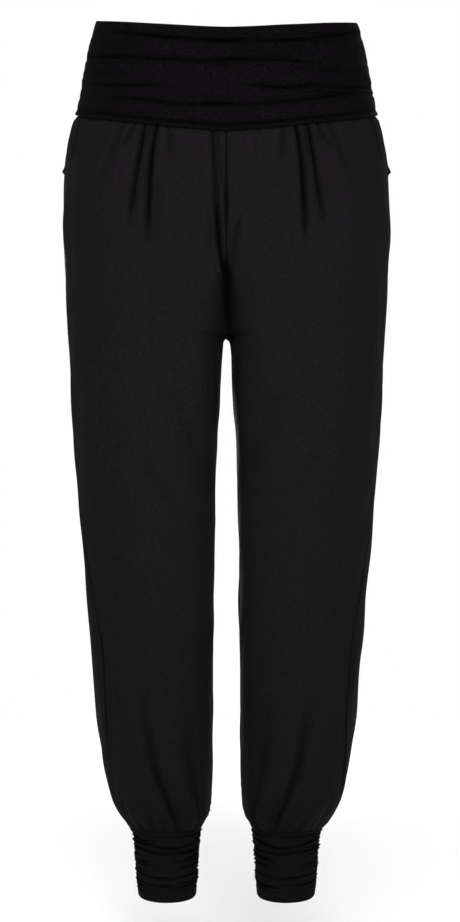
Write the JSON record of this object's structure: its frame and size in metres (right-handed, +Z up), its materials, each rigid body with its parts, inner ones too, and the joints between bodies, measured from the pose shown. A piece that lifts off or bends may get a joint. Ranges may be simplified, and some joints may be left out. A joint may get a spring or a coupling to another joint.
{
  "type": "harem pants",
  "caption": "Loose black jersey trousers with a wide folded ruched waistband, front tucks, slanting side pockets, tapering legs and gathered cuffs, in worn form",
  "frame": {"origin": "middle of the waist opening, level with the top edge of the waistband at centre front", "axes": "+Z up, -Y is the front of the garment, +X is the wearer's left"},
  "size_m": [0.376, 0.269, 1.013],
  "materials": {
    "jersey": "soft matt black viscose jersey with a faint sheen"
  },
  "bodies": {
    "root": {"waistband_front": "jersey", "waistband_back": "jersey", "front_left": "jersey", "front_right": "jersey", "back_left": "jersey", "back_right": "jersey", "pocket_facing_left": "jersey", "pocket_facing_right": "jersey", "cuff_front_left": "jersey", "cuff_front_right": "jersey", "cuff_back_left": "jersey", "cuff_back_right": "jersey"}
  },
  "joints": []
}
